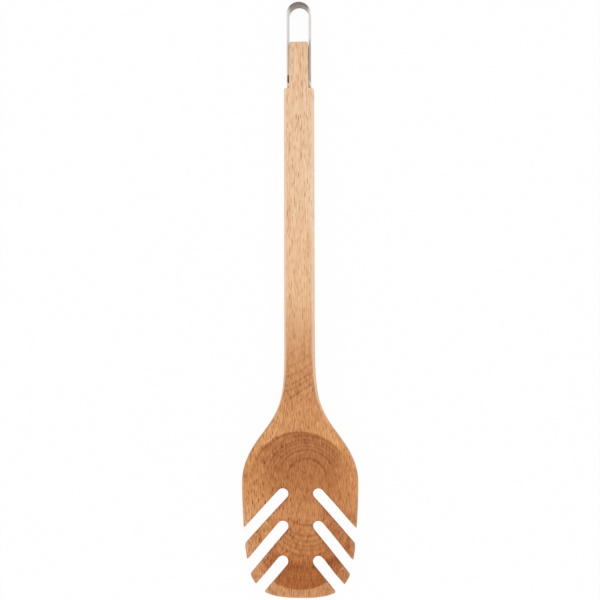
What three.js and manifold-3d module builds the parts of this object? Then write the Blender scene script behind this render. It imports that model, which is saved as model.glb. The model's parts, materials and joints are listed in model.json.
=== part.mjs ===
// A wooden pasta spoon with a hinged steel hanging loop, lying face up on a table.
// Millimetres. +X runs across the spoon, +Y from the bowl to the loop, +Z up out of the bowl.
// The wood is drawn along its handle: y is the distance from the tip of the bowl, and z = 0 is
// the face of the handle. The finished spoon is then tipped on to its belly and its heel.
import * as THREE from 'three';
import { mergeVertices } from 'three/addons/utils/BufferGeometryUtils.js';
import Module from 'manifold-3d';

// Handle and tongue
const SHOULDER_FROM_TIP = 298.4;
const HANDLE_WIDTH = 17.7;
const HANDLE_THICKNESS = 10;
const HANDLE_EDGE_RADIUS = 2.2;
const SHOULDER_CORNER_RADIUS = 1;
const TONGUE_LENGTH = 28;
const TONGUE_ROOT_WIDTH = 11.4;
const TONGUE_END_WIDTH = 11;
const TONGUE_EDGE_RADIUS = 0.5;
const TONGUE_CORNER_RADIUS = 1.2;

// Plan of the bowl: each place is a distance from the tip, each width is the full width there
const NECK_FROM_TIP = 164;
const FLARE_FROM_TIP = 96;
const FLARE_WIDTH = 43.8;
const FLARE_ANGLE = 37.8;
const WIDEST_FROM_TIP = 65;
const BOWL_WIDTH = 68.3;
const CORNER_FROM_TIP = 14;
const CORNER_WIDTH = 58.6;
const CORNER_ANGLE = 22;

// How far each curve of the plan keeps the direction of its ends
const NECK_PULL = 44;
const FLARE_PULL_UP = 21.3;
const FLARE_PULL_DOWN = 19.9;
const WIDEST_PULL_UP = 7;
const WIDEST_PULL_DOWN = 8.8;
const CORNER_PULL_UP = 9.1;
const CORNER_PULL_DOWN = 12.5;
const TIP_PULL = 16.9;

// Side view: the face slopes from the handle down to the rim, and the underside follows it
const BOWL_DROP = 7;
const FACE_SLOPE_START = 166;
const FACE_SLOPE_END = 102;
const UNDERSIDE_SLOPE_START = 172;
const SECTION_CHANGE_START = 150;
const SECTION_CHANGE_END = 85;
const RIM_EDGE_HEIGHT = 3.5;
const RIM_EDGE_RADIUS = 0.7;
const LIP_THICKNESS = 5;
const BOWL_WALL = 5;

// Hollow: the path of a ball cutter along the bowl
const HOLLOW_DEPTH = 9;
const HOLLOW_WIDTH = 58.8;
const HOLLOW_LENGTH = 92.8;
const LIP_LENGTH = 4.2;

// Drain slots: mirrored pairs, each with a round inner end and open at the edge of the bowl.
// Each row has the distance of its inner ends from the tip, and the angle that it slants at.
const SLOT_WIDTH = 6.75;
const SLOT_INSET = 10.65;
const SLOT_ROWS = [19.7, 40, 59.1];
const SLOT_ANGLES = [47.5, 48.6, 46.4];

// Hanging loop, bent from flat strip, and the riveted pin that it swings on
const STRIP_WIDTH = 10;
const STRIP_THICKNESS = 1.1;
const LOOP_REACH = 45.5;
const LOOP_SIDE_CLEARANCE = 0.2;
const LOOP_END_CLEARANCE = 0.35;
const PIN_DIAMETER = 4;
const PIN_HEAD_DIAMETER = 5.2;
const PIN_CLEARANCE = 0.2;

// Smoothness of the curved surfaces, and how close two points are one
const CURVE_STEPS = 12;
const EDGE_STEPS = 3;
const BACK_STEPS = 7;
const ROUND_STEPS = 32;
const BALL_STEPS = 64;
const SAME_POINT = 1e-6;

// Sizes that follow from the ones above
const BODY_LENGTH = SHOULDER_FROM_TIP + TONGUE_LENGTH;
const BELLY_DEPTH = BOWL_DROP + HOLLOW_DEPTH + BOWL_WALL;
const BELLY_FROM_TIP = LIP_LENGTH + HOLLOW_LENGTH / 2;
const LYING_TILT = Math.atan2(BELLY_DEPTH - HANDLE_THICKNESS, BODY_LENGTH - BELLY_FROM_TIP);
const PIN_FROM_TIP = SHOULDER_FROM_TIP + STRIP_WIDTH / 2 + LOOP_END_CLEARANCE;
const LOOP_INNER_WIDTH = TONGUE_ROOT_WIDTH + 2 * LOOP_SIDE_CLEARANCE;
const LOOP_OUTER_WIDTH = LOOP_INNER_WIDTH + 2 * STRIP_THICKNESS;

const wasm = await Module();
wasm.setup();

// Solids and geometries

function solidOf(geometry) {
  const bare = geometry.clone();
  bare.deleteAttribute('normal');
  bare.deleteAttribute('uv');
  const merged = mergeVertices(bare);
  return new wasm.Manifold(new wasm.Mesh({
    numProp: 3,
    vertProperties: new Float32Array(merged.attributes.position.array),
    triVerts: new Uint32Array(merged.index.array),
  }));
}

function geometryOf(solid) {
  const mesh = solid.getMesh();
  const geometry = new THREE.BufferGeometry();
  geometry.setAttribute('position', new THREE.BufferAttribute(mesh.vertProperties, 3));
  geometry.setIndex(new THREE.BufferAttribute(mesh.triVerts, 1));
  geometry.computeVertexNormals();
  return geometry;
}

// Drops each point that lies on the one before it
function withoutRepeats(points) {
  return points.filter((at, i) => i === 0 || at.distanceTo(points[i - 1]) > SAME_POINT);
}

// Skin over a row of rings with equal numbers of points, closed by a flat cap at each end
function loft(rings) {
  const count = rings[0].length;
  const corners = [];
  for (let r = 0; r + 1 < rings.length; r += 1) {
    for (let i = 0; i < count; i += 1) {
      const next = (i + 1) % count;
      const a = r * count + i;
      const b = r * count + next;
      corners.push(a, b, b + count, a, b + count, a + count);
    }
  }
  const last = (rings.length - 1) * count;
  for (let i = 1; i + 1 < count; i += 1) {
    corners.push(0, i + 1, i, last, last + i, last + i + 1);
  }
  const geometry = new THREE.BufferGeometry().setFromPoints(rings.flat());
  geometry.setIndex(corners);
  return geometry;
}

// Wooden body

const smooth = (value) => THREE.MathUtils.smoothstep(value, 0, 1);

function faceHeight(y) {
  return -BOWL_DROP * smooth((FACE_SLOPE_START - y) / (FACE_SLOPE_START - FACE_SLOPE_END));
}

function undersideHeight(y) {
  if (y < BELLY_FROM_TIP) {
    const rise = (BELLY_FROM_TIP - y) / BELLY_FROM_TIP;
    return -BELLY_DEPTH + (BELLY_DEPTH - BOWL_DROP - LIP_THICKNESS) * rise ** 2;
  }
  const climb = smooth((y - BELLY_FROM_TIP) / (UNDERSIDE_SLOPE_START - BELLY_FROM_TIP));
  return -BELLY_DEPTH + (BELLY_DEPTH - HANDLE_THICKNESS) * climb;
}

// Right half of a rounded bar, from the middle of its top to the middle of its underside
function barSection(half, top, bottom, edge) {
  const points = [[0, top]];
  for (let i = 0; i <= EDGE_STEPS; i += 1) {
    const turn = (i / EDGE_STEPS) * (Math.PI / 2);
    points.push([half - edge + edge * Math.sin(turn), top - edge + edge * Math.cos(turn)]);
  }
  for (let i = 0; i <= EDGE_STEPS; i += 1) {
    const turn = (i / EDGE_STEPS) * (Math.PI / 2);
    points.push([half - edge + edge * Math.cos(turn), bottom + edge - edge * Math.sin(turn)]);
  }
  for (let i = 1; i <= BACK_STEPS; i += 1) {
    points.push([(half - edge) * (1 - i / BACK_STEPS), bottom]);
  }
  return points;
}

// Right half of the bowl: a flat rim, an upright edge and a parabola for the back
function bowlSection(half, top, bottom) {
  const edge = Math.min(RIM_EDGE_RADIUS, half);
  const points = [[0, top]];
  for (let i = 0; i <= EDGE_STEPS; i += 1) {
    const turn = (i / EDGE_STEPS) * (Math.PI / 2);
    points.push([half - edge + edge * Math.sin(turn), top - edge + edge * Math.cos(turn)]);
  }
  const steps = EDGE_STEPS + BACK_STEPS;
  for (let i = 0; i <= steps; i += 1) {
    const across = 1 - i / steps;
    const low = top - RIM_EDGE_HEIGHT;
    points.push([half * across, bottom + (low - bottom) * across ** 2]);
  }
  return points;
}

function sectionRing(half, y) {
  const top = faceHeight(y);
  const bottom = undersideHeight(y);
  const edge = y < SHOULDER_FROM_TIP ? HANDLE_EDGE_RADIUS : TONGUE_EDGE_RADIUS;
  const bar = barSection(half, top, bottom, Math.min(edge, half));
  const bowl = bowlSection(half, top, bottom);
  const share = smooth((SECTION_CHANGE_START - y) / (SECTION_CHANGE_START - SECTION_CHANGE_END));
  const right = bar.map(([x, z], i) => new THREE.Vector3(
    THREE.MathUtils.lerp(x, bowl[i][0], share),
    y,
    THREE.MathUtils.lerp(z, bowl[i][1], share),
  ));
  const left = right.slice(1, -1).reverse().map((point) => new THREE.Vector3(-point.x, y, point.z));
  return [...right, ...left];
}

// Half of the plan, from the tip round the bowl and up the handle to the end of the tongue
function planPoints() {
  const point = (x, y) => new THREE.Vector2(x, y);
  const toward = (angle) => {
    const turn = THREE.MathUtils.degToRad(angle);
    return point(-Math.sin(turn), Math.cos(turn));
  };
  const handleSide = HANDLE_WIDTH / 2;
  const bowlSide = BOWL_WIDTH / 2;
  const corner = point(CORNER_WIDTH / 2, CORNER_FROM_TIP);
  const cornerRun = toward(-CORNER_ANGLE);
  const flare = point(FLARE_WIDTH / 2, FLARE_FROM_TIP);
  const flareRun = toward(FLARE_ANGLE);
  const roundCorner = (x, y, radius) => new THREE.EllipseCurve(
    x - radius, y - radius, radius, radius, 0, Math.PI / 2,
  );
  const stretches = [
    [new THREE.CubicBezierCurve(
      point(0, 0), point(TIP_PULL, 0),
      corner.clone().addScaledVector(cornerRun, -CORNER_PULL_DOWN), corner,
    ), CURVE_STEPS],
    [new THREE.CubicBezierCurve(
      corner, corner.clone().addScaledVector(cornerRun, CORNER_PULL_UP),
      point(bowlSide, WIDEST_FROM_TIP - WIDEST_PULL_DOWN), point(bowlSide, WIDEST_FROM_TIP),
    ), CURVE_STEPS],
    [new THREE.CubicBezierCurve(
      point(bowlSide, WIDEST_FROM_TIP), point(bowlSide, WIDEST_FROM_TIP + WIDEST_PULL_UP),
      flare.clone().addScaledVector(flareRun, -FLARE_PULL_DOWN), flare,
    ), CURVE_STEPS],
    [new THREE.CubicBezierCurve(
      flare, flare.clone().addScaledVector(flareRun, FLARE_PULL_UP),
      point(handleSide, NECK_FROM_TIP - NECK_PULL), point(handleSide, NECK_FROM_TIP),
    ), CURVE_STEPS],
    [new THREE.LineCurve(
      point(handleSide, NECK_FROM_TIP),
      point(handleSide, Math.max(NECK_FROM_TIP, UNDERSIDE_SLOPE_START)),
    ), EDGE_STEPS],
    [roundCorner(handleSide, SHOULDER_FROM_TIP, SHOULDER_CORNER_RADIUS), EDGE_STEPS],
    [new THREE.LineCurve(
      point(TONGUE_ROOT_WIDTH / 2, SHOULDER_FROM_TIP),
      point(TONGUE_END_WIDTH / 2, BODY_LENGTH - TONGUE_CORNER_RADIUS),
    ), 1],
    [roundCorner(TONGUE_END_WIDTH / 2, BODY_LENGTH, TONGUE_CORNER_RADIUS), EDGE_STEPS],
  ];
  const points = stretches.flatMap(([curve, steps]) => curve.getPoints(steps));
  return withoutRepeats(points).slice(1);
}

function hollowCutter() {
  const reach = HOLLOW_WIDTH / 2;
  const ball = (reach ** 2 + HOLLOW_DEPTH ** 2) / (2 * HOLLOW_DEPTH);
  const travel = HOLLOW_LENGTH - HOLLOW_WIDTH;
  const path = new THREE.CapsuleGeometry(ball, travel, BALL_STEPS / 4, BALL_STEPS);
  path.translate(0, BELLY_FROM_TIP, ball - HOLLOW_DEPTH - BOWL_DROP);
  return solidOf(path);
}

function slotCutters() {
  const side = SLOT_WIDTH / 2;
  const deep = 2 * BELLY_DEPTH;
  return SLOT_ROWS.flatMap((row, i) => {
    const turn = THREE.MathUtils.degToRad(SLOT_ANGLES[i]);
    const run = BOWL_WIDTH / 2 / Math.cos(turn);
    const outline = new THREE.Shape();
    outline.moveTo(run, side);
    outline.lineTo(0, side);
    outline.absarc(0, 0, side, Math.PI / 2, Math.PI * 1.5, false);
    outline.lineTo(run, -side);
    const bar = new THREE.ExtrudeGeometry(outline, {
      depth: deep, bevelEnabled: false, curveSegments: ROUND_STEPS / 2,
    });
    bar.translate(0, 0, -deep);
    const right = bar.clone().rotateZ(-turn).translate(SLOT_INSET, row, 0);
    const left = bar.clone().rotateZ(Math.PI + turn).translate(-SLOT_INSET, row, 0);
    return [solidOf(right), solidOf(left)];
  });
}

function roundBar(diameter, length) {
  const bar = new THREE.CylinderGeometry(diameter / 2, diameter / 2, length, ROUND_STEPS);
  return bar.rotateZ(Math.PI / 2);
}

function spoonBodyGeometry() {
  let body = solidOf(loft(planPoints().map((at) => sectionRing(at.x, at.y))));
  body = body.subtract(hollowCutter());
  for (const cutter of slotCutters()) body = body.subtract(cutter);
  const bore = roundBar(PIN_DIAMETER + 2 * PIN_CLEARANCE, HANDLE_WIDTH);
  bore.translate(0, PIN_FROM_TIP, -HANDLE_THICKNESS / 2);
  return geometryOf(body.subtract(solidOf(bore)));
}

// Hanging loop and pin, drawn about the pin's axis

// A straight shank whose ends are hammered out into the strip's countersinks.
// The extra radius turns the pin into the cutter for its own holes.
function pinGeometry(extra) {
  const end = LOOP_OUTER_WIDTH / 2;
  const shank = PIN_DIAMETER / 2 + extra;
  const head = PIN_HEAD_DIAMETER / 2 + extra;
  const flare = end - (head - shank);
  const half = [[shank, flare], [head, end], [head, end + extra], [0, end + extra]];
  const profile = [...half.map(([radius, along]) => [radius, -along]).reverse(), ...half];
  const points = profile.map(([radius, along]) => new THREE.Vector2(radius, along));
  return new THREE.LatheGeometry(withoutRepeats(points), ROUND_STEPS).rotateZ(Math.PI / 2);
}

function hangingLoopGeometry() {
  const outer = LOOP_OUTER_WIDTH / 2;
  const inner = LOOP_INNER_WIDTH / 2;
  const foot = -STRIP_WIDTH / 2;
  const spring = LOOP_REACH - outer;
  const bend = new THREE.Shape();
  bend.moveTo(outer, foot);
  bend.lineTo(outer, spring);
  bend.absarc(0, spring, outer, 0, Math.PI, false);
  bend.lineTo(-outer, foot);
  bend.lineTo(-inner, foot);
  bend.lineTo(-inner, spring);
  bend.absarc(0, spring, inner, Math.PI, 0, true);
  bend.lineTo(inner, foot);
  const strip = new THREE.ExtrudeGeometry(bend, {
    depth: STRIP_WIDTH, bevelEnabled: false, curveSegments: ROUND_STEPS / 2,
  });
  strip.translate(0, 0, -STRIP_WIDTH / 2);

  const side = new THREE.Shape();
  side.moveTo(LOOP_REACH + STRIP_WIDTH, STRIP_WIDTH / 2);
  side.lineTo(0, STRIP_WIDTH / 2);
  side.absarc(0, 0, STRIP_WIDTH / 2, Math.PI / 2, Math.PI * 1.5, false);
  side.lineTo(LOOP_REACH + STRIP_WIDTH, -STRIP_WIDTH / 2);
  const roundEnds = new THREE.ExtrudeGeometry(side, {
    depth: LOOP_OUTER_WIDTH + STRIP_WIDTH, bevelEnabled: false, curveSegments: ROUND_STEPS / 2,
  });
  roundEnds.translate(0, 0, -(LOOP_OUTER_WIDTH + STRIP_WIDTH) / 2);
  roundEnds.rotateZ(Math.PI / 2).rotateY(Math.PI / 2);

  const loop = solidOf(strip).intersect(solidOf(roundEnds));
  return geometryOf(loop.subtract(solidOf(pinGeometry(PIN_CLEARANCE))));
}

// Assembly

const beech = new THREE.MeshStandardMaterial({ color: 0xd7a06c, roughness: 0.6, metalness: 0 });
const steel = new THREE.MeshStandardMaterial({ color: 0xc4beb8, roughness: 0.35, metalness: 1 });
const pinSteel = new THREE.MeshStandardMaterial({ color: 0x8f8984, roughness: 0.45, metalness: 1 });

function named(name, geometry, material) {
  const mesh = new THREE.Mesh(geometry, material);
  mesh.name = name;
  return mesh;
}

const hinge = new THREE.Group();
hinge.position.set(0, PIN_FROM_TIP, -HANDLE_THICKNESS / 2);
hinge.add(named('loop_pin', pinGeometry(0), pinSteel));
const hangingLoop = named('hanging_loop', hangingLoopGeometry(), steel);
hangingLoop.rotation.x = LYING_TILT;
hinge.add(hangingLoop);

const tipped = new THREE.Group();
tipped.rotation.x = -LYING_TILT;
tipped.add(named('spoon_body', spoonBodyGeometry(), beech), hinge);

const pastaSpoon = new THREE.Group();
pastaSpoon.add(tipped);
pastaSpoon.updateMatrixWorld(true);
const extent = new THREE.Box3().setFromObject(pastaSpoon, true);
const middle = extent.getCenter(new THREE.Vector3());
tipped.position.set(-middle.x, -middle.y, -extent.min.z);

export default pastaSpoon;
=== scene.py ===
import json
import math

import bmesh
import bpy
import numpy as np
from mathutils import Matrix, Vector


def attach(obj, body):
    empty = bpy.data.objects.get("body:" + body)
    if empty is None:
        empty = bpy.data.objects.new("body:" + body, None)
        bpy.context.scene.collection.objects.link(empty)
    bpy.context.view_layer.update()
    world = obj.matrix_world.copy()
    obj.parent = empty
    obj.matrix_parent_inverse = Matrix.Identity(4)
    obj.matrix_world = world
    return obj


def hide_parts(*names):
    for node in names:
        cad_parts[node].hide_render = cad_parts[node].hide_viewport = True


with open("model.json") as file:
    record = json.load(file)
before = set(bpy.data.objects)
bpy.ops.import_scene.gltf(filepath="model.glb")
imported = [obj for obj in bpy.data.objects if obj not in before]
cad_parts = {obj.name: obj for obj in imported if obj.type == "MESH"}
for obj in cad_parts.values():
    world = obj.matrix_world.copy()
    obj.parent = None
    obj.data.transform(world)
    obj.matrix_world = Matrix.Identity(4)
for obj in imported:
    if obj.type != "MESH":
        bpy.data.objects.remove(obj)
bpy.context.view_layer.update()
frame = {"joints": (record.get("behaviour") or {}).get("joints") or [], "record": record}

# Wooden spoon. One piece of beech, sawn to its plan, hollowed by a ball cutter that runs along the
# bowl, and slotted through to its edge, with a narrower tongue past the shoulders for the loop.
# It is sanded, its edges are eased by hand, and it is lightly oiled.
MM = 0.001

# It is drawn along its handle: y runs from the tip of the bowl, and z = 0 is the handle's face
SHOULDER_FROM_TIP = 298.4 * MM
HANDLE_WIDTH = 17.7 * MM
HANDLE_THICKNESS = 10 * MM
HANDLE_EDGE_RADIUS = 2.2 * MM
SHOULDER_CORNER_RADIUS = 1 * MM
TONGUE_LENGTH = 27.5 * MM
TONGUE_ROOT_WIDTH = 11.64 * MM
TONGUE_END_WIDTH = 11.3 * MM
TONGUE_CORNER_RADIUS = 1.6 * MM
TONGUE_EDGE_RADIUS = 0.2 * MM
SAW_SPARE = 3 * MM

# The plan of the neck and the bowl is one curve, given by its points and how far each one pulls it
NECK_FROM_TIP = 164 * MM
NECK_PULL = 44 * MM
FLARE_FROM_TIP = 96 * MM
FLARE_WIDTH = 43.8 * MM
FLARE_ANGLE = math.radians(37.8)
FLARE_PULL_UP = 21.3 * MM
FLARE_PULL_DOWN = 19.9 * MM
WIDEST_FROM_TIP = 65 * MM
BOWL_WIDTH = 68.3 * MM
WIDEST_PULL_UP = 7 * MM
WIDEST_PULL_DOWN = 8.8 * MM
CORNER_FROM_TIP = 14 * MM
CORNER_WIDTH = 58.6 * MM
CORNER_ANGLE = math.radians(22)
CORNER_PULL_UP = 9.1 * MM
CORNER_PULL_DOWN = 12.5 * MM
TIP_PULL = 16.9 * MM

# Depths, and where along the spoon its faces drop and its section turns from a bar to a dish
BOWL_DROP = 7 * MM
FACE_SLOPE_START = 166 * MM
FACE_SLOPE_END = 102 * MM
UNDERSIDE_SLOPE_START = 172 * MM
SECTION_CHANGE_START = 150 * MM
SECTION_CHANGE_END = 85 * MM
RIM_EDGE_HEIGHT = 3.5 * MM
RIM_EDGE_RADIUS = 0.7 * MM
LIP_THICKNESS = 5 * MM
BOWL_WALL = 5 * MM

# The hollow, the slots, and what the loop and its pin ask of the tongue
HOLLOW_DEPTH = 9 * MM
HOLLOW_WIDTH = 58.8 * MM
HOLLOW_LENGTH = 92.2 * MM
LIP_LENGTH = 4.8 * MM
SLOT_WIDTH = 6.75 * MM
SLOT_INSET = 10.65 * MM
SLOT_ROWS = (19.7 * MM, 40 * MM, 59.1 * MM)
SLOT_ANGLES = (math.radians(47.5), math.radians(48.6), math.radians(46.4))
STRIP_WIDTH = 10 * MM
LOOP_END_CLEARANCE = 0.35 * MM
PIN_DIAMETER = 4 * MM
PIN_CLEARANCE = 0.2 * MM

# How finely the mesh is made, how far sanding goes, and on which edges wear and a painted highlight show
SAW_DRAFT = 0.06 * MM
SAME_POINT = 0.001 * MM
PLAN_STEPS = 24
TOP_STEPS = 8
EDGE_STEPS = 8
CORNER_STEPS = 6
BACK_STEPS = 31
TURN_STEPS = 64
BALL_SEGMENTS = 192
BALL_RINGS = 96
SANDING_GRAIN = 0.6 * MM
SANDING_FORCE = 0.5
SANDING_PASSES = 6
WEAR_AND_HIGHLIGHT_START = 0.04
WEAR_AND_HIGHLIGHT_FULL = 0.16
RIM_LINE_WIDTH = 0.3 * MM
LEAST_LOOK_UP = 0.3

BODY_LENGTH = SHOULDER_FROM_TIP + TONGUE_LENGTH
BLANK_LENGTH = BODY_LENGTH + SAW_SPARE
FLOOR_DEPTH = BOWL_DROP + HOLLOW_DEPTH
BELLY_DEPTH = FLOOR_DEPTH + BOWL_WALL
BELLY_FROM_TIP = LIP_LENGTH + HOLLOW_LENGTH / 2
SLOT_CUT_DEPTH = 4 * BELLY_DEPTH
PIN_FROM_TIP = SHOULDER_FROM_TIP + STRIP_WIDTH / 2 + LOOP_END_CLEARANCE
PIN_PLACE = Vector((0, PIN_FROM_TIP, -HANDLE_THICKNESS / 2))

# The frame says how the spoon lies: the way its handle faces, and where its hinge is
hinge = frame["joints"][0]
hinge_place = Vector(hinge["pos_m"])
face_up = next(mount["axis"] for mount in frame["record"]["mounts"] if mount["name"] == "handle_face")
LYING_TILT = math.atan2(face_up[1], face_up[2])
lying_turn = Matrix.Rotation(-LYING_TILT, 4, "X")
lying = Matrix.Translation(hinge_place) @ lying_turn @ Matrix.Translation(-PIN_PLACE)


class Wire:
    """A value in a node tree. Arithmetic on it adds Math nodes, and node() adds any other node."""

    def __init__(self, tree, socket=None):
        self.tree = tree
        self.socket = socket

    def feed(self, socket, value):
        if isinstance(value, list):
            for one in value:
                self.feed(socket, one)
        elif isinstance(value, Wire):
            self.tree.links.new(value.socket, socket)
        else:
            socket.default_value = value

    def node(self, kind, settings=None, sockets=None, output=None):
        node = self.tree.nodes.new(kind)
        for name, value in (settings or {}).items():
            if name == "stops":
                for place, _ in value[1:-1]:
                    node.color_ramp.elements.new(place)
                for element, (place, colour) in zip(node.color_ramp.elements, value):
                    element.position = place
                    element.color = colour
            else:
                setattr(node, name, value)
        for name, value in (sockets or {}).items():
            named = [one for one in node.inputs if one.enabled and one.name == name]
            self.feed(node.inputs[name] if isinstance(name, int) else named[0], value)
        shown = [one for one in node.outputs if one.enabled and output in (None, one.name)]
        return Wire(self.tree, shown[0] if shown else None)

    def out(self, name):
        return Wire(self.tree, self.socket.node.outputs[name])

    def math(self, operation, *values):
        return self.node("ShaderNodeMath", {"operation": operation}, dict(enumerate(values)))

    def __add__(self, other):
        return self.math("ADD", self, other)

    def __radd__(self, other):
        return self.math("ADD", other, self)

    def __sub__(self, other):
        return self.math("SUBTRACT", self, other)

    def __rsub__(self, other):
        return self.math("SUBTRACT", other, self)

    def __mul__(self, other):
        return self.math("MULTIPLY", self, other)

    def __rmul__(self, other):
        return self.math("MULTIPLY", other, self)

    def __truediv__(self, other):
        return self.math("DIVIDE", self, other)

    def __rtruediv__(self, other):
        return self.math("DIVIDE", other, self)

    def __pow__(self, other):
        return self.math("POWER", self, other)

    def __gt__(self, other):
        return self.math("GREATER_THAN", self, other)

    def __lt__(self, other):
        return self.math("LESS_THAN", self, other)

    def __abs__(self):
        return self.math("ABSOLUTE", self)

    def step(self, start, end, kind="SMOOTHSTEP"):
        """Rises from 0 at start to 1 at end."""
        return self.node("ShaderNodeMapRange", {"interpolation_type": kind}, {0: self, 1: start, 2: end})

    def between(self, first, second):
        """Goes from first to second as this value goes from 0 to 1."""
        return self.node("ShaderNodeMix", {}, {"Factor": self, "A": first, "B": second})

    def tones(self, first, second, blend="MIX"):
        """Goes from one colour to another, or to their blend, as this value goes from 0 to 1."""
        return self.node("ShaderNodeMix", {"data_type": "RGBA", "blend_type": blend}, {
            "Factor": self, "A": first, "B": second})

    def tinted(self, colour, tint):
        """Multiplies a colour by a tint, as far as this value says."""
        return self.tones(colour, tint, "MULTIPLY")

    def kept(self, name):
        """A value that the mesh keeps for each vertex."""
        return self.node("ShaderNodeAttribute", {"attribute_name": name}, {}, "Fac")

    def axes(self):
        parts = self.node("ShaderNodeSeparateXYZ", {}, {0: self})
        return parts.out("X"), parts.out("Y"), parts.out("Z")

    def vector(self, x, y, z):
        return self.node("ShaderNodeCombineXYZ", {}, {"X": x, "Y": y, "Z": z})


def shaped(name, start, tree_of, inputs, finish=()):
    """A plain mesh object from a Geometry Nodes tree run on a starting mesh."""
    tree = bpy.data.node_groups.new(name, "GeometryNodeTree")
    tree.is_modifier = True
    kinds = {float: "NodeSocketFloat", bpy.types.Object: "NodeSocketObject",
             bpy.types.Material: "NodeSocketMaterial"}
    tree.interface.new_socket("Start", in_out="INPUT", socket_type="NodeSocketGeometry")
    for label, value in inputs.items():
        tree.interface.new_socket(label, in_out="INPUT", socket_type=kinds[type(value)])
    tree.interface.new_socket("Shape", in_out="OUTPUT", socket_type="NodeSocketGeometry")
    given = Wire(tree).node("NodeGroupInput")
    whole = given.node("GeometryNodeRealizeInstances", {}, {"Geometry": tree_of(given)})
    dressed = given.node("GeometryNodeSetMaterial", {}, {
        "Geometry": whole, "Material": given.out("Material")})
    given.node("NodeGroupOutput", {}, {"Shape": dressed})

    piece = bpy.data.objects.new(name, start)
    bpy.context.scene.collection.objects.link(piece)
    modifier = piece.modifiers.new("shape", "NODES")
    modifier.node_group = tree
    for item in tree.interface.items_tree:
        if item.in_out == "INPUT" and item.name in inputs:
            modifier[item.identifier] = inputs[item.name]
    for kind, settings in finish:
        extra = piece.modifiers.new(kind, kind)
        for label, value in settings.items():
            setattr(extra, label, value)
    ready = piece.evaluated_get(bpy.context.evaluated_depsgraph_get())
    piece.data = bpy.data.meshes.new_from_object(ready)
    piece.modifiers.clear()
    piece.data.materials.clear()
    piece.data.materials.append(inputs["Material"])
    return piece


def drawn(name, points):
    """An open curve through (point, handle before, handle after), in the XY plane."""
    curve = bpy.data.curves.new(name, "CURVE")
    curve.dimensions = "3D"
    curve.resolution_u = PLAN_STEPS
    line = curve.splines.new("BEZIER")
    line.bezier_points.add(len(points) - 1)
    for knot, (place, before, after) in zip(line.bezier_points, points):
        knot.handle_left_type = "FREE"
        knot.handle_right_type = "FREE"
        knot.co = (*place, 0)
        knot.handle_left = (*before, 0)
        knot.handle_right = (*after, 0)
    piece = bpy.data.objects.new(name, curve)
    bpy.context.scene.collection.objects.link(piece)
    return piece


def sharp(x, y):
    """A point of a drawn curve with no pull."""
    return ((x, y), (x, y), (x, y))


def plan_points():
    """Half of the plan, from the tip round the bowl and up the handle to its end."""
    handle_side = HANDLE_WIDTH / 2
    bowl_side = BOWL_WIDTH / 2
    corner = Vector((CORNER_WIDTH / 2, CORNER_FROM_TIP))
    corner_run = Vector((math.sin(CORNER_ANGLE), math.cos(CORNER_ANGLE)))
    flare = Vector((FLARE_WIDTH / 2, FLARE_FROM_TIP))
    flare_run = Vector((-math.sin(FLARE_ANGLE), math.cos(FLARE_ANGLE)))
    return [
        ((0, 0), (0, 0), (TIP_PULL, 0)),
        (corner, corner - corner_run * CORNER_PULL_DOWN, corner + corner_run * CORNER_PULL_UP),
        ((bowl_side, WIDEST_FROM_TIP), (bowl_side, WIDEST_FROM_TIP - WIDEST_PULL_DOWN),
         (bowl_side, WIDEST_FROM_TIP + WIDEST_PULL_UP)),
        (flare, flare - flare_run * FLARE_PULL_DOWN, flare + flare_run * FLARE_PULL_UP),
        ((handle_side, NECK_FROM_TIP), (handle_side, NECK_FROM_TIP - NECK_PULL),
         (handle_side, NECK_FROM_TIP)),
        sharp(handle_side, UNDERSIDE_SLOPE_START),
        sharp(handle_side, BLANK_LENGTH - SAW_DRAFT),
        sharp(0, BLANK_LENGTH),
    ]


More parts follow.
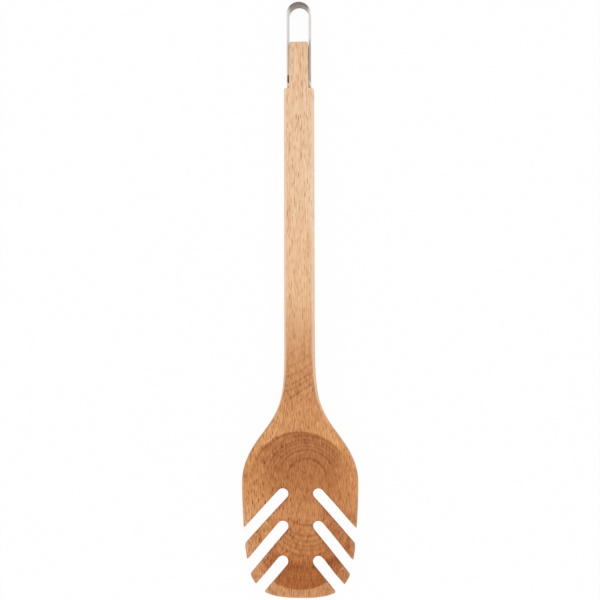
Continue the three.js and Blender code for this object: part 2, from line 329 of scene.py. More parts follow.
def sawn_blank(given):
    """A skin of cross sections along the plan: a bar with round edges that turns into a dish."""
    plan = given.node("GeometryNodeObjectInfo", {}, {"Object": given.out("Plan")}, "Geometry")
    stations = given.node("GeometryNodeCurveToPoints", {"mode": "EVALUATED"}, {"Curve": plan}, "Points")
    count = given.node("GeometryNodeAttributeDomainSize", {"component": "POINTCLOUD"}, {
        "Geometry": stations})
    low_start = TOP_STEPS + EDGE_STEPS + 1
    half_steps = low_start + BACK_STEPS
    around = 2 * half_steps + 1
    grid = given.node("GeometryNodeMeshGrid", {}, {"Vertices X": count, "Vertices Y": around}, "Mesh")

    number = given.node("GeometryNodeInputIndex")
    station = given.math("FLOOR", (number + 0.5) / around)
    place = given.node("GeometryNodeInputPosition")
    outline = given.node("GeometryNodeSampleIndex", {"data_type": "FLOAT_VECTOR", "clamp": True}, {
        "Geometry": stations, "Value": place, "Index": station})
    half, y, _ = outline.axes()

    top = y.step(FACE_SLOPE_START, FACE_SLOPE_END) * -1 * given.out("Bowl drop")
    rise = given.math("MAXIMUM", (BELLY_FROM_TIP - y) / BELLY_FROM_TIP, 0)
    lip = given.out("Belly depth") - given.out("Bowl drop") - given.out("Lip thickness")
    climb = y.step(BELLY_FROM_TIP, UNDERSIDE_SLOPE_START)
    bottom = lip * rise ** 2 + climb * (given.out("Belly depth") - given.out("Handle thickness"))
    bottom = bottom - given.out("Belly depth")
    bowl_share = y.step(SECTION_CHANGE_START, SECTION_CHANGE_END)
    edge = given.math("MINIMUM", bowl_share.between(HANDLE_EDGE_RADIUS, RIM_EDGE_RADIUS), half)

    # Each section runs from the middle of the top, over the edges, to the middle of the underside
    round_step = number - station * around
    step = half_steps - abs(round_step - half_steps)
    side = given.math("SIGN", half_steps - round_step)
    along_top = step.step(0, TOP_STEPS, "LINEAR")
    upper_turn = step.step(TOP_STEPS, TOP_STEPS + EDGE_STEPS, "LINEAR") * (math.pi / 2)
    lower_turn = step.step(low_start, low_start + EDGE_STEPS, "LINEAR") * (math.pi / 2)
    along_base = step.step(low_start + EDGE_STEPS, half_steps, "LINEAR")
    across = 1 - step.step(low_start, half_steps, "LINEAR")
    upper_x = (half - edge) * along_top + edge * given.math("SINE", upper_turn)
    upper_z = top - edge * (1 - given.math("COSINE", upper_turn))
    bar_x = (half - edge) * (1 - along_base) + edge * given.math("COSINE", lower_turn)
    bar_z = bottom + edge * (1 - given.math("SINE", lower_turn))
    bowl_z = bottom + (top - RIM_EDGE_HEIGHT - bottom) * across ** 2
    lower_x = bowl_share.between(bar_x, half * across)
    lower_z = bowl_share.between(bar_z, bowl_z)
    is_lower = step > low_start - 0.5
    skin = given.node("GeometryNodeSetPosition", {}, {
        "Geometry": grid,
        "Position": given.vector(is_lower.between(upper_x, lower_x) * side, y,
                                 is_lower.between(upper_z, lower_z)),
    })
    closed = given.node("GeometryNodeMergeByDistance", {}, {"Geometry": skin, "Distance": SAME_POINT})
    return given.node("GeometryNodeFlipFaces", {}, {"Mesh": closed})


def ball_cut(given):
    """The hollow: what a ball cutter takes as it runs along the bowl."""
    reach = given.out("Hollow width") / 2
    depth = given.out("Hollow depth")
    ball = (reach ** 2 + depth ** 2) / (2 * depth)
    sphere = given.node("GeometryNodeMeshUVSphere", {}, {
        "Segments": BALL_SEGMENTS, "Rings": BALL_RINGS, "Radius": ball}, "Mesh")
    laid = given.node("GeometryNodeTransform", {}, {"Geometry": sphere, "Rotation": (0, math.pi / 2, 0)})
    _, y, _ = given.node("GeometryNodeInputPosition").axes()
    stretch = (y > SAME_POINT) - (y < -SAME_POINT)
    travel = (given.out("Hollow length") - given.out("Hollow width")) / 2
    lift = ball - depth - given.out("Bowl drop")
    return given.node("GeometryNodeSetPosition", {}, {
        "Geometry": laid, "Offset": given.vector(0, stretch * travel + BELLY_FROM_TIP, lift)})


def slot_cuts(given):
    """A slot with a round end at each starting point, drawn out past the edge of the bowl."""
    rod = given.node("GeometryNodeMeshCylinder", {}, {
        "Vertices": TURN_STEPS, "Radius": given.out("Slot width") / 2, "Depth": SLOT_CUT_DEPTH}, "Mesh")
    x, _, _ = given.node("GeometryNodeInputPosition").axes()
    slot = given.node("GeometryNodeSetPosition", {}, {
        "Geometry": rod, "Offset": given.vector((x > SAME_POINT) * BOWL_WIDTH, 0, 0)})
    turn = given.node("GeometryNodeInputNamedAttribute", {"data_type": "FLOAT"}, {
        "Name": "turn"}, "Attribute")
    slots = given.node("GeometryNodeInstanceOnPoints", {}, {
        "Points": given.out("Start"), "Instance": slot, "Rotation": given.vector(0, 0, turn)})
    return given.node("GeometryNodeRealizeInstances", {}, {"Geometry": slots})


def pin_bore(given):
    """The hole that is drilled across the tongue for the pin."""
    drill = given.node("GeometryNodeMeshCylinder", {}, {
        "Vertices": TURN_STEPS, "Radius": PIN_DIAMETER / 2 + PIN_CLEARANCE, "Depth": HANDLE_WIDTH}, "Mesh")
    return given.node("GeometryNodeTransform", {}, {
        "Geometry": drill, "Translation": PIN_PLACE, "Rotation": (0, math.pi / 2, 0)})


def carved(given):
    """The blank, less the hollow, the slots and the pin's bore, laid on the table."""
    cut = given.node("GeometryNodeMeshBoolean", {"operation": "DIFFERENCE", "solver": "MANIFOLD"}, {
        "Mesh 1": sawn_blank(given),
        "Mesh 2": [ball_cut(given), slot_cuts(given), pin_bore(given)]}, "Mesh")
    return given.node("GeometryNodeTransform", {}, {
        "Geometry": cut, "Translation": lying.to_translation(), "Rotation": lying.to_euler()})


def sawn_waste():
    """What is sawn away round the tongue, as one object to cut with. It leaves the edges eased."""
    past_wood = HANDLE_THICKNESS
    handle_side = HANDLE_WIDTH / 2
    turns = [math.pi / 2 * (1 - i / CORNER_STEPS) for i in range(CORNER_STEPS + 1)]

    def rounded(x, y, radius):
        middle_x = x - radius
        middle_y = y - radius
        return [(middle_x + radius * math.cos(turn), middle_y + radius * math.sin(turn)) for turn in turns]

    def outline(inset):
        shoulder = SHOULDER_FROM_TIP - inset
        half = [
            *rounded(TONGUE_END_WIDTH / 2 - inset, BODY_LENGTH - inset, TONGUE_CORNER_RADIUS),
            (TONGUE_ROOT_WIDTH / 2 - inset, shoulder),
            *rounded(handle_side, shoulder, SHOULDER_CORNER_RADIUS),
            (handle_side + past_wood, shoulder - SHOULDER_CORNER_RADIUS),
            (handle_side + past_wood, BODY_LENGTH + past_wood),
        ]
        return half + [(-x, y) for x, y in reversed(half)]

    radius = TONGUE_EDGE_RADIUS
    upper = [(radius * (1 - math.cos(turn)), radius * (1 - math.sin(turn))) for turn in reversed(turns)]
    levels = [(past_wood, radius)] + [(-below, inset) for below, inset in upper]
    levels += [(-HANDLE_THICKNESS - z, inset) for z, inset in reversed(levels)]
    body = bmesh.new()
    rings = [[body.verts.new((x, y, z)) for x, y in outline(inset)] for z, inset in levels]
    for one, two in zip(rings, rings[1:]):
        for i in range(len(one)):
            body.faces.new((one[i - 1], one[i], two[i], two[i - 1]))
    body.faces.new(rings[0])
    body.faces.new(rings[-1])
    bmesh.ops.recalc_face_normals(body, faces=body.faces)
    mesh = bpy.data.meshes.new("sawn_waste")
    body.to_mesh(mesh)
    body.free()
    mesh.transform(lying)
    waste = bpy.data.objects.new("sawn_waste", mesh)
    bpy.context.scene.collection.objects.link(waste)
    return waste


def finish_named(name):
    """A new material with no nodes yet, and a wire to start them from."""
    material = bpy.data.materials.new(name)
    material.use_nodes = True
    material.node_tree.nodes.clear()
    return material, Wire(material.node_tree)


# Growth layers rise a little to the right and towards the handle, and bend down near the tip. Each
# year is given by its height in mm over the floor of the hollow, with how dark its late wood shows.
LAYER_RISE_RIGHT = 0.075
LAYER_RISE_UP = 0.0116
LAYER_RISE_TIP = 0.25
LAYER_BEND = 45
LAYER_BEND_EASE = 0.3
GROWTH_YEARS = (
    (0.97, 1.0), (2.55, 1.0), (3.4, 0.6), (4.35, 0.7), (5.2, 0.6), (6.6, 0.6), (8.6, 0.4), (8.98, 0.5),
    (9.55, 1.0), (10.1, 0.8), (10.5, 0.8), (11.28, 0.7), (12.09, 0.6), (13.2, 0.4), (14.4, 0.4),
)
BOWL_LINE_WIDTH = 1.3
NECK_LINE_WIDTH = 1.1
LINES_SHOW_STEEPNESS = (0.08, 0.14)
LINES_SHOW_CROSSING = (0.0, 0.6)
LEAST_STEEPNESS = 0.01

# Along the spoon, as shares of its length: the handle is palest, with a painted sheen on its face, and
# the neck and the bowl keep the deeper oiled tone. In the hollow, the sloping ends are darkest, partly
# with oil soaked into their end grain and partly with painted shade.
BOWL_BELOW = (0.50, 0.38)
NECK_ABOVE = (0.30, 0.34)
EDGE_HIGHLIGHT_ABOVE = (0.27, 0.37)
WOOD_AND_SHEEN_TONES = (
    (0.00, (0.578, 0.266, 0.112, 1)),
    (0.20, (0.585, 0.236, 0.081, 1)),
    (0.32, (0.600, 0.267, 0.100, 1)),
    (0.40, (0.585, 0.263, 0.104, 1)),
    (0.472, (0.668, 0.340, 0.154, 1)),
    (0.534, (0.785, 0.460, 0.242, 1)),
    (0.61, (0.806, 0.495, 0.278, 1)),
    (0.75, (0.828, 0.545, 0.335, 1)),
    (1.00, (0.791, 0.511, 0.309, 1)),
)
SOAK_AND_SHADE_TINTS = (
    (0.020, (0.690, 0.465, 0.250, 1)),
    (0.062, (0.845, 0.665, 0.460, 1)),
    (0.080, (0.930, 0.835, 0.700, 1)),
    (0.147, (0.985, 0.970, 0.955, 1)),
    (0.208, (0.785, 0.715, 0.640, 1)),
    (0.282, (0.825, 0.765, 0.695, 1)),
    (0.298, (0.650, 0.550, 0.490, 1)),
)

# Fibres and rays tint that tone, first on the handle and then in the bowl
PALE_FIBRES = ((1.17, 1.33, 1.53, 1), (1.336, 1.51, 1.665, 1))
DEEP_FIBRES = ((0.82, 0.66, 0.47, 1), (0.664, 0.49, 0.335, 1))
RAY_TINTS = ((0.66, 0.46, 0.29, 1), (0.38, 0.28, 0.21, 1))
STREAK_FORCE = (1.6, 2.0)
PALE_FORCE = (0.3, 0.35)
BROAD_FORCE = (0.7, 0.25)
SMALL_FLECK_FORCE = (0.8, 0.55)
WEAR_AND_HIGHLIGHT_FORCE = (0.5, 0.25)

MEAN_DARKNESS = 0.24
DARKNESS_RANGE = (-0.4, 1.0)
WOOD_ROUGHNESS = 0.58
WOOD_GLOSS = 0.2
GRAIN_RELIEF = 0.15 * MM

# What differs below the neck and on it, first below
LAYER_WANDER = (0.25, 0.4)
RING_FORCE = (0.5, 0.45)
FLECK_FORCE = (1.0, 0.7)

# The left side of the bowl is paler, its lower right is darker heartwood, and a painted highlight lies
# on its flare, outside the hollow's rim. The places are in mm, across from the middle line and along from
# the tip.
PALE_LEFT_TINT = (1.15, 1.26, 1.36, 1)
PALE_LEFT_OF = (-8, -26)
PALE_LEFT_BELOW = (82, 48)
PALE_LEFT_ABOVE = (12, 34)
HEARTWOOD_TINT = (0.93, 0.86, 0.80, 1)
HEARTWOOD_RIGHT_OF = (8, 14)
HEARTWOOD_BELOW = (54, 47)
DARK_CORNER_TINT = (0.88, 0.83, 0.78, 1)
DARK_CORNER_RIGHT_OF = (18, 24)
DARK_CORNER_BELOW = (30, 24)
FLARE_HIGHLIGHT_TINT = (1.15, 1.24, 1.34, 1)
FLARE_HIGHLIGHT_OUTSIDE = (8, 17)
FLARE_HIGHLIGHT_ABOVE = (84, 93)
FLARE_HIGHLIGHT_BELOW = (112, 100)
SOAK_AND_SHADE_WITHIN = (30, 15)
COARSE_LEFT_OF = (14, -8)
WEAR_AND_HIGHLIGHT_TONE = (0.90, 0.67, 0.47, 1)


def oiled_beech():
    material, start = finish_named("oiled_beech")
    place = start.node("ShaderNodeTexCoord", {}, {}, "Object")
    to_drawn = lying.inverted()
    grain = start.node("ShaderNodeMapping", {"vector_type": "POINT"}, {
        "Vector": place, "Scale": (1 / MM, 1 / MM, 1 / MM), "Rotation": to_drawn.to_euler(),
        "Location": to_drawn.to_translation() / MM})
    x, y, z = grain.axes()
    aside = abs(x)
    share = y / (BODY_LENGTH / MM)
    bowl = share.step(*BOWL_BELOW)
    neck = share.step(*NECK_ABOVE)
    steep = start.kept("steepness")
    hollowed = start.kept("hollowed")
    end_grain = start.kept("end_grain")
    across_grain = start.kept("across_grain")
    worn = start.kept("worn")

    def noise(wide, long, deep, detail, seed):
        """Noise about 0, drawn out along the grain."""
        at = start.vector(x / wide + seed, y / long, z / deep)
        return start.node("ShaderNodeTexNoise", {}, {
            "Vector": at, "Scale": 1.0, "Detail": detail}, "Fac") - 0.5

    sway = noise(wide=9, long=40, deep=9, detail=1, seed=3) * 2.0
    sway = sway + noise(wide=3, long=8, deep=9, detail=0, seed=9) * 0.35

    def spindles(wide, long, thick, rare, seed):
        """Short dashes along the grain, one to a cell, the rarer the more of them are left faint."""
        lean = 0.6 * z
        core = 0.6 * thick
        at = start.vector((x + lean + sway) / wide + seed, y / long, 0)
        cells = start.node("ShaderNodeTexVoronoi", {"voronoi_dimensions": "2D", "feature": "F1"}, {
            "Vector": at, "Scale": 1.0}, "Distance")
        pick, _, _ = cells.out("Color").axes()
        return cells.step(thick, core) * pick.step(rare, 0.9)

    # Late wood shows as lines where the surface cuts across the layers
    wander = noise(wide=14, long=50, deep=14, detail=2, seed=5)
    past_bend = y - LAYER_BEND
    rise = start.math("SMOOTH_MIN", LAYER_RISE_UP * past_bend, LAYER_RISE_TIP * past_bend, LAYER_BEND_EASE)
    layer = z + FLOOR_DEPTH / MM - LAYER_RISE_RIGHT * x - rise + neck.between(*LAYER_WANDER) * wander
    late_wood = 0
    for height, strength in GROWTH_YEARS:
        off = abs(layer - height) / (steep + LEAST_STEEPNESS)
        line_width = BOWL_LINE_WIDTH if height < FLOOR_DEPTH / MM / 2 else NECK_LINE_WIDTH
        late_wood = late_wood + off.step(line_width, 0) * strength
    shown = steep.step(*LINES_SHOW_STEEPNESS) * across_grain.step(*LINES_SHOW_CROSSING)
    rings = late_wood * shown
    years = start.node("ShaderNodeTexNoise", {"noise_dimensions": "1D"}, {
        "W": layer, "Scale": 0.9}, "Fac") - 0.5

    # Fine streaks run along the grain, long on the handle and short in the bowl
    streaks = bowl.between(noise(wide=0.5, long=18, deep=4, detail=1, seed=17),
                           noise(wide=0.45, long=4.5, deep=4, detail=1, seed=31))
    pale_fibres = spindles(wide=0.9, long=5, thick=0.36, rare=0.1, seed=80)
    broad = noise(wide=2.4, long=70, deep=5, detail=2, seed=11)
    clouds = noise(wide=20, long=30, deep=20, detail=2, seed=23)
    dark = (MEAN_DARKNESS + streaks * bowl.between(*STREAK_FORCE) - pale_fibres * bowl.between(*PALE_FORCE)
            + rings * neck.between(*RING_FORCE) + end_grain ** 2 * 0.5
            + years * shown * 0.3 + broad * bowl.between(*BROAD_FORCE) + clouds * 0.2)
    shade = dark.step(*DARKNESS_RANGE, "LINEAR")
    tint = shade.tones(bowl.tones(*PALE_FIBRES), bowl.tones(*DEEP_FIBRES))
    # The tone along the spoon, with the handle's painted sheen
    tone = start.node("ShaderNodeValToRGB", {"stops": WOOD_AND_SHEEN_TONES}, {"Fac": share})
    fibres = start.node("ShaderNodeMix", {"data_type": "RGBA", "blend_type": "MULTIPLY"}, {
        "Factor": 1.0, "A": tone, "B": tint})

    # Dark rays lie between the fibres, coarser towards the left of the bowl
    flecks = bowl.between(spindles(wide=1.3, long=14, thick=0.17, rare=0.2, seed=0),
                          spindles(wide=1.1, long=7.5, thick=0.22, rare=0.25, seed=0))
    small_flecks = bowl.between(spindles(wide=0.9, long=9, thick=0.24, rare=0, seed=40),
                                spindles(wide=0.75, long=5, thick=0.28, rare=0, seed=40))
    coarse = x.step(*COARSE_LEFT_OF).between(0.45, 1.0) * neck.between(*FLECK_FORCE)
    rays = start.math("MAXIMUM", flecks * bowl.between(1.0, coarse),
                      small_flecks * bowl.between(*SMALL_FLECK_FORCE))
    figured = rays.tinted(fibres, bowl.tones(*RAY_TINTS))

    # Oil and painted shade in the hollow, the paler left side, heartwood, and the flare's painted
    # highlight
    # Painted shade of the hollow, with oil in its end grain, darkest at the sloping ends
    soak_and_shade = start.node("ShaderNodeValToRGB", {"stops": SOAK_AND_SHADE_TINTS}, {"Fac": share}, "Color")
    soaked_and_shaded = (hollowed * aside.step(*SOAK_AND_SHADE_WITHIN)).tinted(figured, soak_and_shade)
    # The left side of the bowl is paler
    pale_left_share = x.step(*PALE_LEFT_OF) * y.step(*PALE_LEFT_BELOW) * y.step(*PALE_LEFT_ABOVE)
    paled_left = pale_left_share.tinted(soaked_and_shaded, PALE_LEFT_TINT)
    heart_share = x.step(*HEARTWOOD_RIGHT_OF) * y.step(*HEARTWOOD_BELOW)
    heartwood = heart_share.tinted(paled_left, HEARTWOOD_TINT)
    corner_share = x.step(*DARK_CORNER_RIGHT_OF) * y.step(*DARK_CORNER_BELOW)
    cornered = corner_share.tinted(heartwood, DARK_CORNER_TINT)
    # A painted highlight on the flare, a pale band outside the hollow's rim
    flare_highlight_share = aside.step(*FLARE_HIGHLIGHT_OUTSIDE) * y.step(*FLARE_HIGHLIGHT_ABOVE) * y.step(*FLARE_HIGHLIGHT_BELOW)
    flare_highlighted = (flare_highlight_share * (1 - hollowed)).tinted(cornered, FLARE_HIGHLIGHT_TINT)

    # The edges are eased by hand, and are painted paler, partly as wear and partly as a painted highlight
    rounded = steep.step(0.12, 0.7) * (1 - steep.step(0.9, 1.0) * 0.6)
    eased = rounded * (1 - hollowed) * share.step(*EDGE_HIGHLIGHT_ABOVE) * (1 - end_grain) * 0.7
    rubbed_and_highlit = worn * bowl.between(*WEAR_AND_HIGHLIGHT_FORCE) * (1 - hollowed)
    colour = start.math("MAXIMUM", rubbed_and_highlit, eased).tones(flare_highlighted, WEAR_AND_HIGHLIGHT_TONE)
    relief = 0.5 - flecks * 0.5 - small_flecks * 0.25 - rings * 0.2 - streaks * 0.6
    bump = start.node("ShaderNodeBump", {}, {"Strength": 0.25, "Distance": GRAIN_RELIEF, "Height": relief})
    surface = start.node("ShaderNodeBsdfPrincipled", {}, {
        "Base Color": colour, "Roughness": WOOD_ROUGHNESS + flecks * 0.1 + broad * 0.12, "Normal": bump,
        "Specular IOR Level": WOOD_GLOSS})
    start.node("ShaderNodeOutputMaterial", {}, {"Surface": surface})
    return material


def mark(mesh, name, values):
    """Keeps a value for each vertex under a name that a node tree reads."""
    mesh.attributes.new(name, "FLOAT", "POINT").data.foreach_set("value", values)


plan = drawn("plan", plan_points())
waste = sawn_waste()
slot_ends = bpy.data.meshes.new("slot_ends")
slot_ends.from_pydata([(side * SLOT_INSET, row, 0) for row in SLOT_ROWS for side in (1, -1)], [], [])
mark(slot_ends, "turn", [turn for angle in SLOT_ANGLES for turn in (-angle, math.pi + angle)])
spoon = shaped("carved_spoon", slot_ends, carved, {
    "Plan": plan, "Material": oiled_beech(),
    "Handle thickness": HANDLE_THICKNESS, "Bowl drop": BOWL_DROP, "Belly depth": BELLY_DEPTH,
    "Lip thickness": LIP_THICKNESS, "Hollow width": HOLLOW_WIDTH, "Hollow depth": HOLLOW_DEPTH,
    "Hollow length": HOLLOW_LENGTH, "Slot width": SLOT_WIDTH,
}, finish=[
    ("REMESH", {"mode": "VOXEL", "voxel_size": SANDING_GRAIN, "use_smooth_shade": True}),
    ("SMOOTH", {"factor": SANDING_FORCE, "iterations": SANDING_PASSES}),
    ("BOOLEAN", {"operation": "DIFFERENCE", "solver": "MANIFOLD", "object": waste}),
])
bpy.data.objects.remove(plan)
bpy.data.objects.remove(waste)
grain_run = lying.to_3x3() @ Vector((0, 1, 0))
face_run = lying.to_3x3() @ Vector((0, 0, 1))


def end_grain_at(vertex):
    """1 where the surface is sawn square across the grain, 0 where it lies along it."""
    return vertex.normal.dot(grain_run) ** 2


def layer_run_at(vertex):
    """The way that growth layers follow each other at a place in the wood."""
    from_tip = (lying.inverted() @ vertex.co).y / MM
    rise = LAYER_RISE_UP if from_tip > LAYER_BEND else LAYER_RISE_TIP
    return lying.to_3x3() @ Vector((-LAYER_RISE_RIGHT, -rise, 1))


def steepness_at(vertex):
    """About 1 where the surface cuts square through the layers, 0 where it follows one."""
    return vertex.normal.cross(layer_run_at(vertex)).length


def across_grain_at(vertex):
    """1 where a ring's line crosses the grain, 0 where it runs along it."""
    layer_run = layer_run_at(vertex)
    climb = layer_run - vertex.normal * vertex.normal.dot(layer_run)
    return abs(climb.normalized().dot(grain_run))


def hollowed_at(vertex):
    """1 inside the hollow's rim, 0 outside it and on every face that doesn't look up."""
    drawn_at = lying.inverted() @ vertex.co
    past_ball = max(0, abs(drawn_at.y - BELLY_FROM_TIP) - (HOLLOW_LENGTH - HOLLOW_WIDTH) / 2)
    inside = HOLLOW_WIDTH / 2 - math.hypot(drawn_at.x, past_ball)
    looks_up = vertex.normal.dot(face_run) > LEAST_LOOK_UP
    return min(1, max(0, inside / RIM_LINE_WIDTH)) if looks_up else 0


def edge_wear_and_highlight(mesh):
    """For each vertex, 0 on flat and hollow surfaces, up to 1 on a sharp outer edge."""
    count = len(mesh.vertices)
    places = np.empty(3 * count)
    normals = np.empty(3 * count)
    ends = np.empty(2 * len(mesh.edges), dtype=int)
    mesh.vertices.foreach_get("co", places)
    mesh.vertex_normals.foreach_get("vector", normals)
    mesh.edges.foreach_get("vertices", ends)
    places = places.reshape(-1, 3)
    ends = ends.reshape(-1, 2)
    pull = np.zeros((count, 3))
    spread = np.zeros(count)
    for one, two in ((0, 1), (1, 0)):
        run = places[ends[:, two]] - places[ends[:, one]]
        np.add.at(pull, ends[:, one], run)
        np.add.at(spread, ends[:, one], np.linalg.norm(run, axis=1))
    inward = -np.einsum("ij,ij->i", pull, normals.reshape(-1, 3)) / spread
    return np.clip((inward - WEAR_AND_HIGHLIGHT_START) / (WEAR_AND_HIGHLIGHT_FULL - WEAR_AND_HIGHLIGHT_START), 0, 1)


for kept_name, value_at in (("end_grain", end_grain_at), ("steepness", steepness_at),
                            ("across_grain", across_grain_at), ("hollowed", hollowed_at)):
    mark(spoon.data, kept_name, [value_at(vertex) for vertex in spoon.data.vertices])
# Where edge wear and a painted highlight show, on the sharper outer edges
mark(spoon.data, "worn", edge_wear_and_highlight(spoon.data))
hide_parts("spoon_body")
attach(spoon, "spoon")

# Loop pin. A length of steel rod driven through the tongue, its two ends hammered out into the
# countersunk holes of the loop, so that it stays in the wood and the loop turns on it.
PIN_HEAD_DIAMETER = 5.2 * MM
PIN_HEAD_SINK = 0.1 * MM
PIN_DOME = 0.25 * MM
STRIP_THICKNESS = 1.1 * MM
LOOP_SIDE_CLEARANCE = 0.08 * MM
LOOP_INNER_WIDTH = TONGUE_ROOT_WIDTH + 2 * LOOP_SIDE_CLEARANCE
LOOP_OUTER_WIDTH = LOOP_INNER_WIDTH + 2 * STRIP_THICKNESS
DOME_STEPS = 6
CRISP_ANGLE = math.radians(35)
DENT_SIZE = 0.9 * MM
DENT_DEPTH = 0.2 * MM
GRIME_SIZE = 1.4 * MM
PIN_TONE = (0.50, 0.47, 0.45, 1)
PIN_GRIME = (0.27, 0.24, 0.22, 1)
PIN_ROUGHNESS = 0.32


def turned(name, half_profile):
    """A mesh turned about X from (radius, distance from the middle), alike at both ends."""
    profile = [(radius, -along) for radius, along in reversed(half_profile)] + list(half_profile)
    mesh = bpy.data.meshes.new(name)
    body = bmesh.new()
    rings = []
    for radius, along in profile:
        ring = []
        for i in range(TURN_STEPS):
            turn = 2 * math.pi * i / TURN_STEPS
            ring.append(body.verts.new((along, radius * math.cos(turn), radius * math.sin(turn))))
        rings.append(ring)
    for one, two in zip(rings, rings[1:]):
        for i in range(TURN_STEPS):
            j = (i + 1) % TURN_STEPS
            body.faces.new((one[i], one[j], two[j], two[i]))
    bmesh.ops.remove_doubles(body, verts=body.verts, dist=SAME_POINT)
    bmesh.ops.recalc_face_normals(body, faces=body.faces)
    body.to_mesh(mesh)
    body.free()
    return mesh


def pin_profile(extra):
    """The shank and the cone of its head, grown by what a hole for them has to spare."""
    end = LOOP_OUTER_WIDTH / 2
    shank = PIN_DIAMETER / 2 + extra
    head = PIN_HEAD_DIAMETER / 2 + extra
    return [(shank, end - (head - shank)), (head, end)]


def domed(profile):
    """Closes a profile with a shallow hammered dome."""
    radius, end = profile[-1]
    dome_start = end - PIN_HEAD_SINK
    dome = []
    for i in range(1, DOME_STEPS + 1):
        share = i / DOME_STEPS
        dome.append((radius * (1 - share), dome_start + PIN_DOME * (1 - (1 - share) ** 2)))
    return profile[:-1] + [(radius, dome_start)] + dome


def hammered_steel():
    material, start = finish_named("hammered_steel")
    place = start.node("ShaderNodeTexCoord", {}, {}, "Object")
    dents = start.node("ShaderNodeTexVoronoi", {"feature": "SMOOTH_F1"}, {
        "Vector": place, "Scale": 1 / DENT_SIZE, "Smoothness": 0.6}, "Distance")
    grime = start.node("ShaderNodeTexNoise", {}, {
        "Vector": place, "Scale": 1 / GRIME_SIZE, "Detail": 3.0}, "Fac")
    bump = start.node("ShaderNodeBump", {}, {"Strength": 0.5, "Distance": DENT_DEPTH, "Height": dents})
    surface = start.node("ShaderNodeBsdfPrincipled", {}, {
        "Base Color": grime.step(0.35, 0.75).tones(PIN_TONE, PIN_GRIME), "Metallic": 1.0,
        "Roughness": PIN_ROUGHNESS + grime * 0.25, "Normal": bump})
    start.node("ShaderNodeOutputMaterial", {}, {"Surface": surface})
    return material


def placed(name, mesh, material):
    """An object at the origin, whose place is in its mesh."""
    piece = bpy.data.objects.new(name, mesh)
    bpy.context.scene.collection.objects.link(piece)
    mesh.materials.append(material)
    return piece


pin_mesh = turned("loop_rivet", domed(pin_profile(0)))
pin_mesh.transform(Matrix.Translation(hinge_place))
pin_mesh.shade_smooth()
pin_mesh.set_sharp_from_angle(angle=CRISP_ANGLE)
pin = placed("loop_rivet", pin_mesh, hammered_steel())
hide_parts("loop_pin")
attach(pin, "spoon")

# Hanging loop. One length of flat steel strip bent to a U over a round former, with its edges
# rounded, its ends cut round, drilled and countersunk. It swings on the pin across the tongue.
STRIP_EDGE_RADIUS = 0.12 * MM
LOOP_REACH = 45.5 * MM
LOOP_SLIDE = Vector((0.05 * MM, 0, 0))
LEG_LENGTH = LOOP_REACH - LOOP_OUTER_WIDTH / 2
QUARTER_ARC_PULL = 4 / 3 * math.tan(math.pi / 8)
LEAST_NARROWING = 0.0004
SWEEP_STEPS = 400
EDGE_ARC_STEPS = 4

# Tones of the steel, and where they change, in mm from the pin across, along and through the strip
LEG_TONE = (0.58, 0.54, 0.51, 1)
LEFT_TONGUE_SHADE_TONE = (0.50, 0.43, 0.375, 1)
RIGHT_TONGUE_SHADE_TONE = (0.345, 0.29, 0.255, 1)
TONGUE_SHADE_BELOW = (25, 20)
LEG_END_LIGHT_TONE = (0.85, 0.83, 0.81, 1)
LEG_END_LIGHT_BELOW = (-1, -3.5)
BEND_SHADE_DARK_TONE = (0.135, 0.100, 0.078, 1)
BEND_SHADE_PALE_TONE = (0.205, 0.152, 0.122, 1)
BEND_SHADE_EDGE_TONE = (0.17, 0.143, 0.125, 1)
BEND_ABOVE = (LEG_LENGTH / MM + 1.0, LEG_LENGTH / MM + 4.5)
EDGE_OUTSIDE = (STRIP_WIDTH / 2 / MM - 0.35, STRIP_WIDTH / 2 / MM)
STRIP_ROUGHNESS = 0.22
BRUSHING_DEPTH = 0.05 * MM
DARK_MARK_TONE = (0.05, 0.032, 0.025, 1)
DARK_MARK_FORCE = 0.95
DARK_MARK_MIDDLE = -0.3
DARK_MARK_REACH = (2.3, 3.0)
DARK_MARK_INSIDE = (-6.9, -6.3)
DARK_MARK_TOP = (4.3, 4.7)


